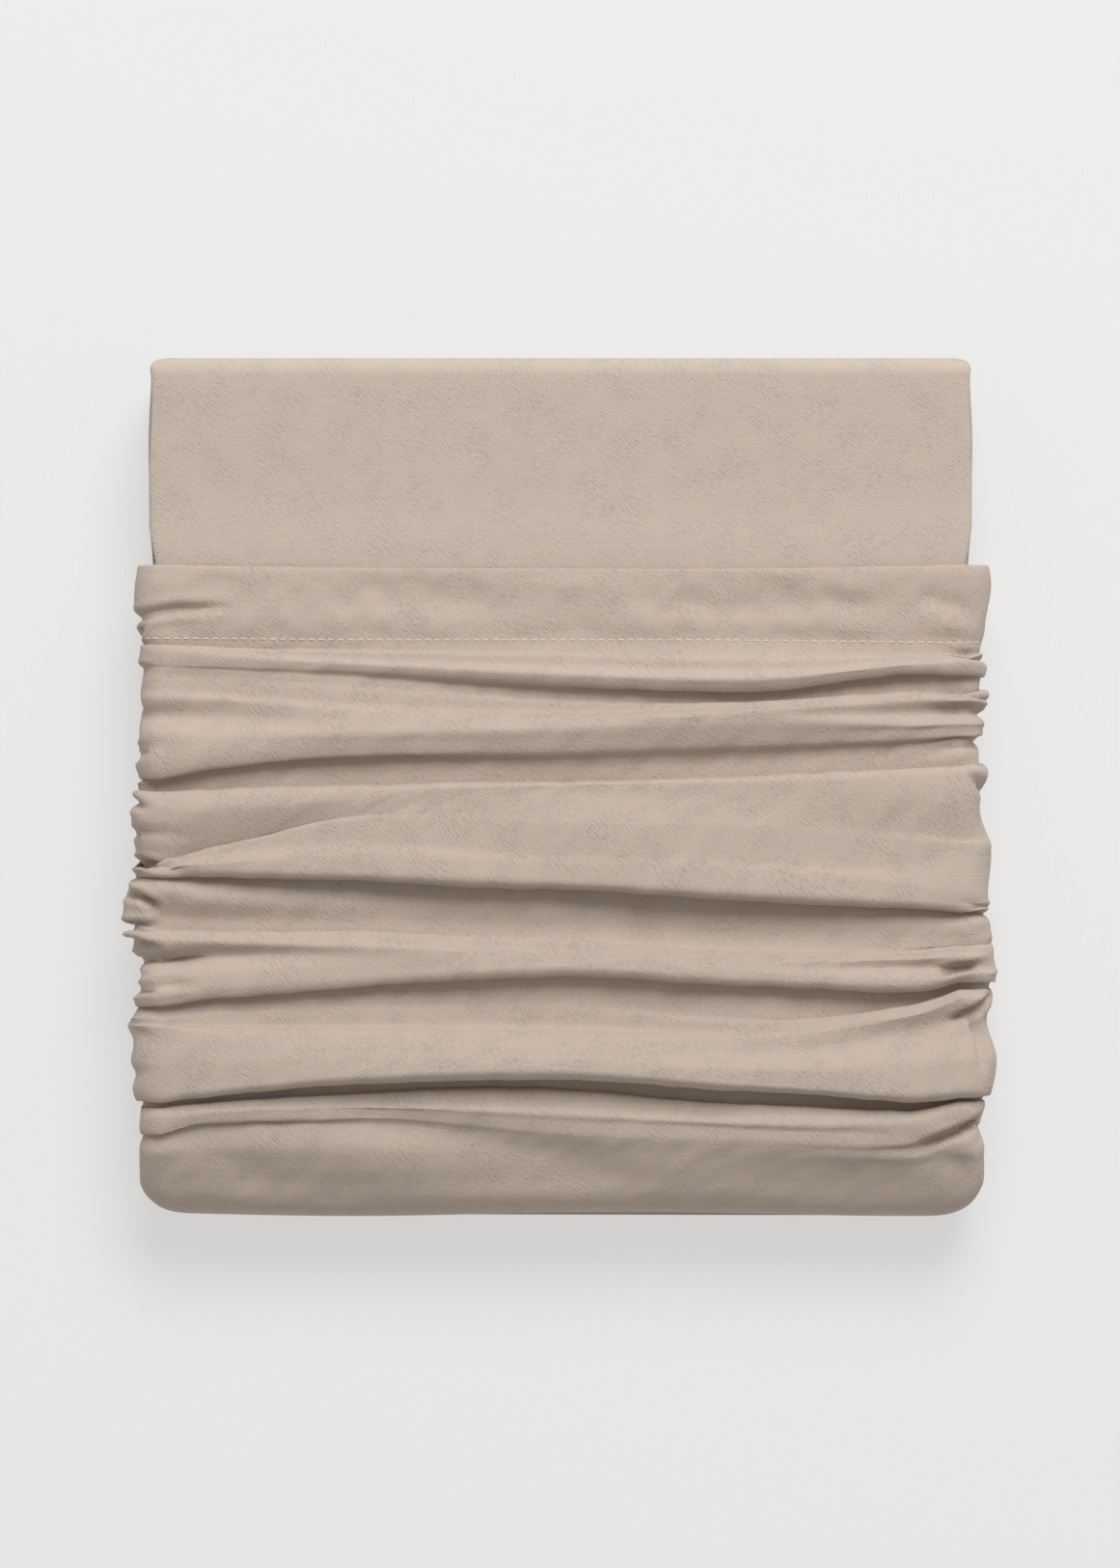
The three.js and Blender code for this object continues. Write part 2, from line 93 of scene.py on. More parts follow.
def gridUv(u, v, closed):
    # corner coordinates in metres for gridFaces, the last column running on past the first
    nextU = np.concatenate([u[:, 1:], 2 * u[:, -1:] - u[:, -2:-1]], 1)
    nextV = np.concatenate([v[:, 1:], v[:, -1:]], 1)
    if not closed:
        u, v, nextU, nextV = u[:, :-1], v[:, :-1], nextU[:, :-1], nextV[:, :-1]
    corners = [(u[:-1], v[:-1]), (u[1:], v[1:]), (nextU[1:], nextV[1:]), (nextU[:-1], nextV[:-1])]
    return np.stack([np.stack(corner, -1) for corner in corners], 2).reshape(-1, 2) * metre


def makePiece(name, points, faces, uv, endFaces=()):
    # a smooth mesh at the origin from points in millimetres
    mesh = bpy.data.meshes.new(name)
    mesh.from_pydata((points * metre).tolist(), [], faces.tolist() + [list(face) for face in endFaces])
    layer = mesh.uv_layers.new(name="clothUv")
    corners = np.zeros((len(mesh.loops), 2))
    corners[: len(uv)] = uv
    layer.data.foreach_set("uv", corners.ravel())
    mesh.polygons.foreach_set("use_smooth", np.ones(len(mesh.polygons), dtype=bool))
    mesh.update()
    piece = bpy.data.objects.new(name, mesh)
    bpy.context.scene.collection.objects.link(piece)
    return piece


def gridNormals(points, closed):
    # unit normals from the differences along rows and columns
    along = np.gradient(points, axis=0)
    if closed:
        around = np.roll(points, -1, 1) - np.roll(points, 1, 1)
    else:
        around = np.gradient(points, axis=1)
    normal = np.cross(along, around)
    return normal / np.maximum(np.linalg.norm(normal, axis=-1, keepdims=True), 1e-9)


# the gathered slip: sizes, lines of its folds and small creases
slip = {
    "halfWidth": 172.6,
    "shoulder": 8.0,
    "heel": 6.0,
    "hemThickness": 2.0,
    "hemReturn": 27.0,
    "stations": [-172, -152, -85, 0, 85, 152, 172],
    "rowStep": 1.16,
    "columns": {"top": 211, "shoulder": 12, "flank": 14, "heel": 3, "sole": 16},
    # lines across the slip from mouth to closed end, a value a station: place along the length, height and
    # stand-off at the sides; a drop is the lower edge of a fold and a rise the upper edge of one, with the
    # foot beneath it, how far the edge reaches over that and how soon the cloth turns flat beyond
    "rows": [
        {"kind": "soft", "y": [92, 91.6, 90.8, 90.4, 90.4, 91.6, 92],
         "height": [1.6, 1.4, 1.2, 1.2, 1.2, 1.4, 1.6], "side": [2.6, 5]},
        {"kind": "soft", "y": [88.6, 88.4, 87.4, 87, 87.2, 88, 88.6],
         "height": [2.2, 2.1, 1.8, 1.6, 1.6, 2, 2.2], "side": [3, 5.8]},
        {"kind": "soft", "y": [78.4, 78, 77.6, 78.4, 76.8, 78.4, 79.2],
         "height": [2.4, 2.2, 1.5, 1.9, 1.3, 1.5, 1.8], "side": [3.8, 5.4]},
        {"kind": "soft", "y": [68, 68, 68.4, 68, 68, 67.2, 67.2],
         "height": [2.2, 2.4, 2.6, 2.4, 2.5, 2.2, 2.4], "side": [2.4, 4.4]},
        {"kind": "soft", "y": [61.6, 61.6, 61, 61, 60.8, 60, 59.8],
         "height": [1.6, 1.7, 1.8, 2, 1.7, 1.5, 1.4], "side": [1.6, 3]},
        {"kind": "rise", "y": [59.2, 58, 56, 54.4, 52.4, 54.4, 55.6],
         "height": [5.1, 4.9, 3.7, 4.4, 5.6, 5.6, 5.4], "low": [0.7, 1, 2, 2.9, 3.9, 2.4, 1.7],
         "side": [2.2, 3.7], "foot": [0.3, 1.9], "reach": [1.4, 1.2, -1, -1.4, -1, 0.6, 1],
         "turn": [1.6, 1.8, 3, 4, 4, 2.4, 2]},
        {"kind": "soft", "y": [55.6, 54, 50.8, 46.8, 44.8, 50.8, 51.6],
         "height": [5.9, 6, 6.3, 8.3, 9.8, 8.8, 7.8], "side": [2.5, 3.8]},
        {"kind": "drop", "y": [50.4, 49.6, 47.2, 42, 40, 46.4, 46.4],
         "height": [5.7, 5.7, 6, 7.6, 9, 8.5, 7.3], "low": [5.4, 5.1, 2.9, 1, 0.7, 0.7, 0.7],
         "side": [3.2, 3.9], "foot": [0.6, 1.3], "reach": [-2, -2, -1.6, -0.6, 1.4, 2.4, 2.2],
         "turn": [1.8, 1.8, 2, 2.8, 3.4, 3, 2.6]},
        {"kind": "rise", "y": [45.6, 44.8, 40, 35.2, 35.2, 40, 39.2],
         "height": [5.5, 5.2, 3.9, 3.2, 6.8, 8.1, 7.8], "low": [5.2, 5, 3, 1.2, 0.9, 1, 1],
         "side": [0.4, 5.4], "foot": [0.3, 0.4], "reach": [-2, -2, -2, -1, 0.6, 1.6, 1.6],
         "turn": [6, 6, 6, 5, 4, 2.4, 2.2]},
        {"kind": "soft", "y": [37.6, 36.8, 32, 30, 32, 35.6, 35.6],
         "height": [6.3, 6.6, 6.6, 7.3, 9.3, 8.8, 8.3], "side": [0.4, 5.3]},
        {"kind": "soft", "y": [30, 29.6, 27.2, 27.2, 30, 30.4, 30.8],
         "height": [3.7, 4.4, 8.3, 9.3, 10, 5.9, 4.4], "side": [0.4, 2.1]},
        {"kind": "soft", "y": [20.8, 20, 22, 24.4, 27.6, 25.6, 26],
         "height": [7.1, 8.5, 10.2, 10.4, 10.1, 8.5, 7.8], "side": [0.4, 4.2]},
        {"kind": "drop", "y": [3.6, 7.6, 12.8, 14.8, 16.8, 20, 21.2],
         "height": [7.3, 8.8, 9.5, 8.5, 8.3, 7.1, 6.8], "low": [1.7, 2, 2.4, 2.2, 2.2, 2.4, 2.4],
         "side": [2.2, 3.8], "foot": [0.8, 1.3], "reach": [2.2, 2.2, 1, -2.6, -3, -1, 0.6],
         "turn": [6, 7, 6, 5, 5, 4, 3]},
        {"kind": "soft", "y": [1.8, 4, 7.6, 8.4, 10.4, 14, 15.2],
         "height": [1, 1.1, 1.2, 1.1, 1.1, 1.7, 2.4], "side": [3.9, 0.4]},
        {"kind": "rise", "y": [-0.8, -0.4, 1.2, 3.2, 4.8, 7.6, 8.4],
         "height": [8.1, 9.3, 9.8, 9.8, 9.8, 9.3, 8.8], "low": [1, 0.6, 0.5, 0.5, 0.6, 1.2, 1.7],
         "side": [4.6, 4.5], "foot": [2.9, 1.1], "reach": 2.4, "turn": 2.2},
        {"kind": "soft", "y": [-9.6, -8.8, -4.8, -2.4, -3.2, -4, -4.8],
         "height": [9.8, 11, 10.7, 10, 10, 10.5, 10.2], "side": [4.8, 0.4]},
        {"kind": "rise", "y": [-31.2, -25.6, -12.8, -15.2, -16.8, -21.6, -23.2],
         "height": [8.5, 8.8, 10.5, 12.4, 12.7, 9.8, 8.5], "low": [2, 3.4, 9.6, 11.7, 12, 9, 7.3],
         "side": [4.1, 6.8], "foot": [2.7, 5.3], "reach": [1.8, 1.2, -1, -3, -3, -2, 0],
         "turn": [1.6, 3, 9, 14, 14, 10, 5]},
        {"kind": "soft", "y": [-33.6, -31.6, -28.8, -30.8, -34.4, -40.4, -45.6],
         "height": [9.8, 11.2, 12.7, 13.7, 13.9, 12, 10.2], "side": [4.6, 5.0]},
        {"kind": "drop", "y": [-37.2, -37.2, -39.2, -42.4, -46.8, -50.4, -52],
         "height": [9.3, 11.2, 13.4, 14.6, 14.6, 12.2, 10.2], "low": [2, 2, 3.2, 3.2, 2.9, 2, 2],
         "side": [3.7, 6.3], "foot": [2.3, 4.6], "reach": 3, "turn": 3.6},
        {"kind": "soft", "y": [-42, -45.2, -48, -51.2, -55.2, -56.8, -57.6],
         "height": [7.3, 6.1, 2.4, 1.8, 1.8, 3.2, 4.9], "side": [6.5, 5.6]},
        {"kind": "soft", "y": [-54.4, -55.6, -56, -57.6, -60.8, -62.4, -62.4],
         "height": [1.7, 1.2, 0.6, 1, 1.7, 2.9, 3.9], "side": [9.0, 6.4]},
        {"kind": "rise", "y": [-58.4, -59.2, -60, -63.6, -68, -67.6, -65.6],
         "height": [8.8, 8.8, 7.3, 5.4, 5.6, 6.6, 7.1], "low": [1.7, 1.2, 0.7, 2.2, 3.2, 3.4, 3.9],
         "side": [7.4, 7.3], "foot": [6.0, 5.5], "reach": [2.2, 2.2, 1.6, 0, 0, 0, 0.4],
         "turn": [2.4, 2.4, 3.4, 5, 5, 4, 3]},
        {"kind": "soft", "y": [-63.2, -63.6, -65.6, -68.8, -71.6, -70.8, -69.6],
         "height": [10.2, 10.2, 9.8, 8.3, 8.5, 8.5, 8.3], "side": [6.8, 7.5]},
        {"kind": "soft", "y": [-72.4, -69.6, -69.2, -70.4, -74, -74.4, -74],
         "height": [3.9, 4.9, 9.6, 9.3, 9.8, 6.6, 5.6], "side": [1.8, 8.2]},
        {"kind": "soft", "y": [-78.4, -76.8, -74.4, -72.8, -76.8, -78.8, -76.8],
         "height": [8.3, 9.5, 10.2, 10.2, 11, 10.2, 9.5], "side": [1.0, 9.2]},
        {"kind": "drop", "y": [-90.8, -87.6, -82.8, -77.6, -82.4, -84.4, -80.8],
         "height": [9.3, 10, 10.5, 10.7, 11.2, 10.7, 9.8], "low": [3.7, 3.2, 3.2, 2.9, 2.7, 1, 1.2],
         "side": [4.0, 8.9], "foot": [2.6, 6.8], "reach": [2, 2.4, 2.2, 2.2, 2.4, 2.6, 2.4],
         "turn": [5, 5, 4, 3.4, 3.4, 3.4, 3]},
        {"kind": "rise", "y": [-95.2, -93.2, -91.6, -91.2, -96.8, -89.6, -83.6],
         "height": [5.6, 3.9, 2.2, 1.8, 4.1, 8.5, 9], "low": [4.6, 3.4, 1.8, 1.3, 1.5, 1.2, 1.7],
         "side": [7.3, 7.0], "foot": [5.9, 5.6], "reach": [0, 0, 0, 0, 0.3, 1.8, 2.2],
         "turn": [4, 6, 7, 7, 6, 2.6, 2]},
        {"kind": "soft", "y": [-98.4, -100, -100.8, -100.8, -102.8, -94, -87.2],
         "height": [9.8, 8.5, 6.6, 6.3, 7.3, 11, 11.2], "side": [7.1, 6.8]},
        {"kind": "soft", "y": [-105.6, -106.8, -107.2, -107.2, -109.2, -100.8, -96.8],
         "height": [10, 10.7, 10.7, 10.7, 9.5, 8.1, 7.3], "side": [2.9, 4.4]},
        {"kind": "soft", "y": [-116, -115.2, -112.8, -112, -116.8, -115.2, -112.8],
         "height": [11, 12.2, 13.4, 14.6, 14.6, 12.9, 12.2], "side": [4.9, 8.3]},
        {"kind": "drop", "y": [-130.4, -128, -122, -120, -126, -129.6, -127.6],
         "height": [10.5, 12.2, 14.2, 15.6, 15.1, 13.4, 12], "low": [3.7, 1.7, 0.1, 0, 0, 0.1, 1],
         "side": [4.4, 6.7], "foot": [1.5, 4.4], "reach": [3, 4.6, 5.8, 6, 6, 5, 3], "turn": 3.4},
        {"kind": "rise", "y": [-132.4, -130.4, -126, -125.2, -131.2, -132.8, -129.2],
         "height": [6.6, 6.3, 4.9, 4.1, 5.4, 7.8, 8.3], "low": [3.4, 2.2, 0.6, 0.4, 0.4, 0.6, 1.5],
         "side": [1.3, 4.1], "foot": [0.3, 2.7], "reach": [0.8, 0.8, 0.2, 0, 0.4, 1.8, 2],
         "turn": [2, 2.4, 4, 6, 4, 2.6, 2.2]},
        {"kind": "soft", "y": [-136.4, -134, -132, -135.2, -139.2, -138.4, -133.2],
         "height": [7.6, 7.6, 7.3, 6.8, 7.3, 8.8, 8.8], "side": [1.4, 3.5]},
        {"kind": "drop", "y": [-143.6, -138.8, -137.6, -143.2, -145.6, -147.2, -139.2],
         "height": [7.1, 7.3, 7, 5.9, 6, 7.3, 7.6], "low": [3.4, 3.7, 4.3, 4.8, 4.8, 4.1, 3.2],
         "side": [1.8, 2.2], "foot": [0.4, 0.8], "reach": [1.2, 1, -1, -4, -4, -0.6, 1],
         "turn": [3, 3, 5, 9, 9, 4, 2.6]},
        {"kind": "soft", "y": [-149.6, -148, -147.2, -150, -151.6, -152.4, -149.6],
         "height": [3.2, 3.4, 3.7, 2.7, 2.6, 3.2, 3.2], "side": [2.2, 3.7]},
    ],
    "hemCount": 5,
    # rounding of the closed end: upper and lower cloth, and what is left of the stand-off
    "endRows": [
        {"yTop": -156, "zTop": 47.6, "yLow": -150, "zLow": 0, "height": 2, "side": [2.4, 3.8]},
        {"yTop": -163, "zTop": 44.2, "yLow": -156, "zLow": 0, "height": 1, "side": [2.4, 3.8]},
        {"yTop": -169.6, "zTop": 41, "yLow": -162, "zLow": 0.2, "height": 0.4, "side": [2, 3]},
        {"yTop": -174.6, "zTop": 36.4, "yLow": -168, "zLow": 2, "height": 0, "side": [1.6, 2]},
        {"yTop": -177.4, "zTop": 29.2, "yLow": -172.6, "zLow": 4.8, "height": 0, "side": [0.9, 1]},
        {"yTop": -178.5, "zTop": 20.4, "yLow": -176.2, "zLow": 8.2, "height": 0, "side": [0.3, 0.3]},
        {"yTop": -178.8, "zTop": 14, "yLow": -178.4, "zLow": 12.4, "height": 0, "side": [0, 0]},
    ],
    "endCorner": 17.0,
    # creases: points (round the cloth from the middle, along the length), half width and depth
    "creases": [
        {"line": [(-215, 66), (-174, 71), (-158, 73.6), (-130, 74.4)], "width": 1.8, "depth": 3.2},
        {"line": [(-205, 55), (-180, 64), (-170, 71)], "width": 1.6, "depth": 2.8},
        {"line": [(-60, 80), (-30, 74), (0, 72)], "width": 5, "depth": 0.6},
        {"line": [(40, 80), (66, 73), (80, 74)], "width": 5, "depth": 0.7},
        {"line": [(104, 79), (120, 76), (134, 75)], "width": 4, "depth": 1},
        {"line": [(146, 81), (158, 76), (172, 73)], "width": 3.5, "depth": 1.2},
        {"line": [(-210, 40), (-172, 29.6), (-140, 28.4)], "width": 3, "depth": 1.4},
        {"line": [(-210, 6), (-174, 14.4), (-160, 19.6)], "width": 1.8, "depth": 3},
        {"line": [(-210, -4), (-176, -6.6), (-164, -10)], "width": 1.7, "depth": 3.2},
        {"line": [(-215, -21), (-172, -18.4), (-148, -19.6)], "width": 1.5, "depth": 2},
        {"line": [(-215, -32), (-172, -31), (-164, -33.2), (-152, -34)], "width": 1.3, "depth": 5.2},
        {"line": [(-190, -42), (-173, -45), (-167, -48.6), (-170, -54)], "width": 1.5, "depth": 4.6},
        {"line": [(-205, -60), (-174, -57), (-163, -57.6)], "width": 1.4, "depth": 3.6},
        {"line": [(-200, -63), (-172, -64.6), (-165, -66.4), (-166, -71)], "width": 1.4, "depth": 4},
        {"line": [(-200, -73), (-174, -71.8), (-158, -71), (-140, -69.4)], "width": 1.4, "depth": 4.2},
        {"line": [(-200, -86), (-172, -83.6), (-162, -81.4), (-146, -81)], "width": 1.3, "depth": 4.2},
        {"line": [(-215, -88), (-178, -98), (-160, -107)], "width": 3, "depth": 1.8},
        {"line": [(-215, -118), (-176, -119), (-162, -116)], "width": 3, "depth": 1.6},
        {"line": [(146, 13.4), (162, 16.4), (210, 22)], "width": 1.5, "depth": 2},
        {"line": [(150, 39), (170, 37.8), (210, 33)], "width": 1.3, "depth": 2.8},
        {"line": [(146, 31), (168, 33.2), (210, 28)], "width": 1.8, "depth": 2.8},
        {"line": [(154, 56), (170, 54.8), (210, 50)], "width": 1.4, "depth": 2.4},
        {"line": [(164, 7), (174, 1), (200, -10)], "width": 2, "depth": 2.8},
        {"line": [(160, -44), (172, -50), (210, -54)], "width": 2.4, "depth": 1.8},
        {"line": [(154, -77), (164, -74.4), (174, -72.6)], "width": 1.4, "depth": 4.6},
        {"line": [(158, -98), (170, -92.4), (182, -84)], "width": 1.6, "depth": 4.4},
        {"line": [(168, -92), (172, -104), (171, -120)], "width": 1.5, "depth": 4},
        {"line": [(140, -148), (156, -152), (176, -160)], "width": 5, "depth": 1.6},
        {"line": [(146, -149), (162, -143), (182, -135)], "width": 1.8, "depth": 4},
        {"line": [(-110, -134), (-50, -143), (0, -154), (50, -166)], "width": 9, "depth": 2.4},
        {"line": [(-170, -140), (-140, -152), (-110, -166)], "width": 7, "depth": 0.9},
        {"line": [(10, -146), (60, -154), (110, -168)], "width": 8, "depth": 0.9},
    ],
}


def acrossStations(values, x):
    # smooth curve through one value a station: cubic Hermite with slopes from the neighbours
    s = np.array(slip["stations"], float)
    p = np.broadcast_to(np.array(values, float), s.shape)
    low = np.maximum(np.arange(len(s)) - 1, 0)
    high = np.minimum(np.arange(len(s)) + 1, len(s) - 1)
    slope = (p[high] - p[low]) / (s[high] - s[low])
    x = np.clip(x, s[0], s[-1])
    i = np.clip(np.searchsorted(s, x, side="left") - 1, 0, len(s) - 2)
    span = s[i + 1] - s[i]
    t = (x - s[i]) / span
    pull = t * (1 - t) * span
    return mix(p[i], p[i + 1], t * t * (3 - 2 * t)) + pull * ((1 - t) * slope[i] - t * slope[i + 1])


def sectionColumns():
    # columns round the section: over the top, down the right, under, up the left
    count = slip["columns"]
    rows = [("top", f, 0, 0) for f in np.linspace(-1, 1, count["top"])]
    right = [("shoulder", 1, a, 0) for a in np.linspace(90, 0, count["shoulder"] + 1)[1:]]
    right += [("flank", 1, 0, g) for g in np.linspace(0, 1, count["flank"] + 1)[1:]]
    right += [("heel", 1, a, 0) for a in np.linspace(0, 90, count["heel"] + 1)[1:]]
    rows += right
    rows += [("sole", f, 0, 0) for f in np.linspace(1, -1, count["sole"])[1:-1]]
    rows += [(part, -1, a, g) for part, _, a, g in reversed(right)]
    part = np.array([row[0] for row in rows])
    f, a, g = (np.array([row[k] for row in rows], float) for k in (1, 2, 3))
    a = np.radians(a)
    onSide = np.select([part == "shoulder", part == "flank", part == "heel"], [np.cos(a) ** 1.45, 1, 1], 0)
    pressed = np.select(
        [part == "flank", part == "heel", part == "sole"],
        [0.7 * smoothStep(0.15, 1.1, g), 0.7 + 0.3 * np.minimum(1, a / 0.44), 1], 0)
    return {"part": part, "f": f, "a": a, "g": g, "onSide": onSide, "pressed": pressed}


def sectionPoints(col, half, zTop, zLow):
    # rounded section of each node row: x, z and the outward direction, rows by columns
    half, zTop, zLow = (np.asarray(v, float)[:, None] for v in (half, zTop, zLow))
    r = np.minimum(slip["shoulder"], 0.45 * (zTop - zLow))
    q = np.minimum(slip["heel"], 0.45 * (zTop - zLow))
    part, f, c, s = col["part"], col["f"], np.cos(col["a"]), np.sin(col["a"])
    where = [part == "top", part == "shoulder", part == "flank", part == "heel"]
    places = [f * (half - r), f * (half - r + r * c), f * half, f * (half - q + q * c)]
    x = np.select(where, places, f * (half - q))
    z = np.select(
        where,
        [zTop + 0 * f, zTop - r + r * s, mix(zTop - r, zLow + q, col["g"]), zLow + q - q * s], zLow + 0 * f)
    nx = np.select(where, [0 * f, f * c, f, f * c], 0 * f)
    nz = np.select(where, [1 + 0 * f, s, 0 * f, -s], -1)
    return x, z, nx, nz


def lineAt(values, col):
    # a line as placed on top, straight from edge to edge underneath
    placed = acrossStations(values, col["f"] * slip["stations"][-1])
    straight = mix(values[0], values[-1], (col["f"] + 1) / 2)
    return mix(placed, straight, col["pressed"])


def heightAt(row, col, name="height", beside="side"):
    # height on top turning into the stand-off at the sides, none where the cloth lies pressed
    over = np.maximum(acrossStations(row[name], col["f"] * slip["stations"][-1]), 0.2)
    off = np.where(col["f"] < 0, row[beside][0], row[beside][1])
    return mix(over, off, col["onSide"]) * (1 - col["pressed"])


def rowNodes(i, col):
    # nodes of one line: itself, or the crest, edge and foot of a fold
    rows = slip["rows"]
    row = rows[i]
    y, high = lineAt(row["y"], col), heightAt(row, col)
    if row["kind"] == "soft":
        return [(y, high)]
    x = col["f"] * slip["stations"][-1]
    low = heightAt(row, col, "low", "foot")
    opened = np.clip((high - low) / 4, 0, 1) * mix(1, 0.5, col["onSide"])
    toward = 1 if row["kind"] == "drop" else -1
    room = np.abs(lineAt(rows[i - toward]["y"], col) - y)
    behind = np.abs(lineAt(rows[i + toward]["y"], col) - y)
    reach = np.minimum(acrossStations(row["reach"], x), 0.6 * room) * opened - 0.15 * behind * (1 - opened)
    turn = np.minimum(acrossStations(row["turn"], x), 0.75 * room)
    nodes = [(y + toward * turn, high), (y, mix(low, high, 0.62)), (y + toward * reach, low)]
    return nodes if toward > 0 else nodes[::-1]


def slipNodes(col):
    # all node rows of the slip: turned-in hem, hem, folds and closed end
    y, h, half, zTop, zLow = [], [], [], [], []

    def put(rowY, rowH, rowHalf=slip["halfWidth"], rowTop=floorTop, rowLow=0.0):
        y.append(rowY)
        h.append(rowH)
        half.append(rowHalf)
        zTop.append(rowTop)
        zLow.append(rowLow)

    hem = slip["rows"][: slip["hemCount"]]
    mouth, mouthH = lineAt(hem[0]["y"], col), heightAt(hem[0], col)
    inner = slip["hemThickness"]
    put(mouth - slip["hemReturn"], heightAt(hem[3], col) - inner)
    put(mouth - 12, heightAt(hem[2], col) - inner)
    put(mouth - 1.6, mouthH - inner)
    put(mouth + 0.1, mouthH - 0.55 * inner)
    hemStart = len(y)
    stitchNode = hemStart + len(hem) - 1
    for i in range(len(slip["rows"])):
        for rowY, rowH in rowNodes(i, col):
            put(rowY, rowH)
    corner = slip["endCorner"]
    for row in slip["endRows"]:
        past = np.clip(corner - (row["yTop"] - slip["endRows"][-1]["yTop"]), 0, corner)
        rowHalf = slip["halfWidth"] - corner + math.sqrt(corner ** 2 - past ** 2)
        z = sectionPoints(col, [rowHalf], [row["zTop"]], [row["zLow"]])[1][0]
        beside = np.where(col["f"] < 0, row["side"][0], row["side"][1])
        rowH = mix(row["height"], beside, col["onSide"]) * (1 - col["pressed"])
        up = smoothStep(0, 0.6, (z - row["zLow"]) / (row["zTop"] - row["zLow"]))
        put(mix(row["yLow"], row["yTop"], up), rowH, rowHalf, row["zTop"], row["zLow"])
    x, z, nx, nz = sectionPoints(col, half, zTop, zLow)
    h, y = np.array(h), np.array(y)
    lean = col["onSide"] * col["g"] * (1 - col["pressed"])
    lean = lean * smoothStep(64, 50, y) * smoothStep(-172, -150, y)
    y = y + lean * (3 * np.sin(y / 15 + 2 * col["f"]) + 1.6 * np.sin(y / 6.4))
    # the closed end is not quite straight
    y = y + 0.9 * np.sin(x / 37 + 0.8) * smoothStep(-150, -176, y)
    return np.stack([x + nx * h, y, z + nz * h], -1), hemStart, stitchNode


def splineRows(nodes, step):
    # curve down every column through its nodes without overshoot: harmonic mean slopes, root-chord spacing
    gap = np.maximum(np.linalg.norm(np.diff(nodes, axis=0), axis=-1, keepdims=True), 0.05)
    chord = np.sqrt(gap)
    slope = np.diff(nodes, axis=0) / chord
    product = slope[:-1] * slope[1:]
    total = slope[:-1] + slope[1:]
    inside = np.where(product > 0, 2 * product / np.where(np.abs(total) < 1e-9, 1, total), 0)
    tangent = np.concatenate([slope[:1], inside, slope[-1:]])
    counts = np.maximum(2, np.round(gap[..., 0].mean(1) / step)).astype(int)
    rows, starts = [], []
    for k, count in enumerate(counts):
        starts.append(len(rows))
        for t in np.arange(count) / count:
            a, b = t * t * (3 - 2 * t), t * (1 - t)
            bend = b * chord[k] * ((1 - t) * tangent[k] - t * tangent[k + 1])
            rows.append(mix(nodes[k], nodes[k + 1], a) + bend)
    rows.append(nodes[-1])
    return np.array(rows), starts


def creaseDepth(u, v, line, width, depth):
    # trough along a line of points with a low welt beside it, fading out at both ends
    line = np.array(line, float)
    lengths = np.linalg.norm(np.diff(line, axis=0), axis=1)
    best = np.full(u.shape, 1e9)
    along = np.zeros(u.shape)
    done = 0.0
    for start, end, length in zip(line[:-1], line[1:], lengths):
        d = (end - start) / length
        t = np.clip((u - start[0]) * d[0] + (v - start[1]) * d[1], 0, length)
        distance = np.hypot(u - start[0] - t * d[0], v - start[1] - t * d[1])
        nearer = distance < best
        best = np.where(nearer, distance, best)
        along = np.where(nearer, done + t, along)
        done += length
    share = along / done
    fade = smoothStep(0, 0.3, share) * smoothStep(0, 0.3, 1 - share)
    trough = -np.exp(-(best / width) ** 2) + 0.22 * np.exp(-((best - 2.2 * width) / width) ** 2)
    return trough * depth * fade


def makeSlip():
    col = sectionColumns()
    nodes, hemStart, stitchNode = slipNodes(col)
    points, starts = splineRows(nodes, slip["rowStep"])
    girth = np.linalg.norm(np.diff(points, axis=1), axis=-1).mean(0)
    u = np.concatenate([[0], np.cumsum(girth)])
    u = u - u[slip["columns"]["top"] // 2]
    # the left side counts down from the middle
    around = np.where(u > u[-1] / 2 + 120, u - u[-1] - girth[0] + u[0], u)
    down = np.concatenate([[0], np.cumsum(np.linalg.norm(np.diff(points, axis=0), axis=-1).mean(1))])
    u, v = np.broadcast_arrays(u[None, :], down[:, None])
    normal = gridNormals(points, True)
    loose = (1 - col["pressed"])[None, :] * np.ones(len(points))[:, None]
    s = np.broadcast_to(around[None, :], loose.shape)
    y = points[..., 1]
    push = waveField(s, v, randomWaves(5, 14, (38, 90), (60, 130), 0.16))
    push += waveField(s, v, randomWaves(6, 18, (9, 22), (25, 70), 0.035))
    # shallow dents of the hem
    hemOnly = smoothStep(60, 66, y) * smoothStep(91, 85, y)
    push += hemOnly * waveField(s, v, randomWaves(9, 16, (14, 40), (20, 150), 0.09))
    for crease in slip["creases"]:
        push += creaseDepth(s, y, crease["line"], crease["width"], crease["depth"])
    outside = smoothStep(starts[hemStart] - 2, starts[hemStart] + 8, np.arange(len(points)))[:, None]
    outside = outside * smoothStep(-178.5, -168, y)
    points = points + normal * (push * loose * outside)[..., None]
    lowest = np.where(col["part"] == "top", coverTop + 0.5, 0.0)[None, :]
    onEnd = points[..., 1] < -146
    points[..., 2] = np.maximum(points[..., 2], np.where(onEnd, 0, lowest))
    rows, columns = points.shape[:2]
    faces = gridFaces(rows, columns, True)
    end = [(rows - 1) * columns + c for c in range(columns - 1, -1, -1)]
    piece = makePiece("gatheredSlip", points.reshape(-1, 3), faces, gridUv(u, v, True), [end])
    return piece, points, normal, starts[stitchNode]


slipPiece, slipGrid, slipNormal, stitchRow = makeSlip()
print("slip:", slipGrid.shape[:2], "rows and columns,", len(slipPiece.data.polygons), "faces")


# running stitch along the hem
stitch = {"pitch": 4.0, "length": 2.9, "radius": 0.26, "sunk": 0.05, "rings": 6, "sides": 6}


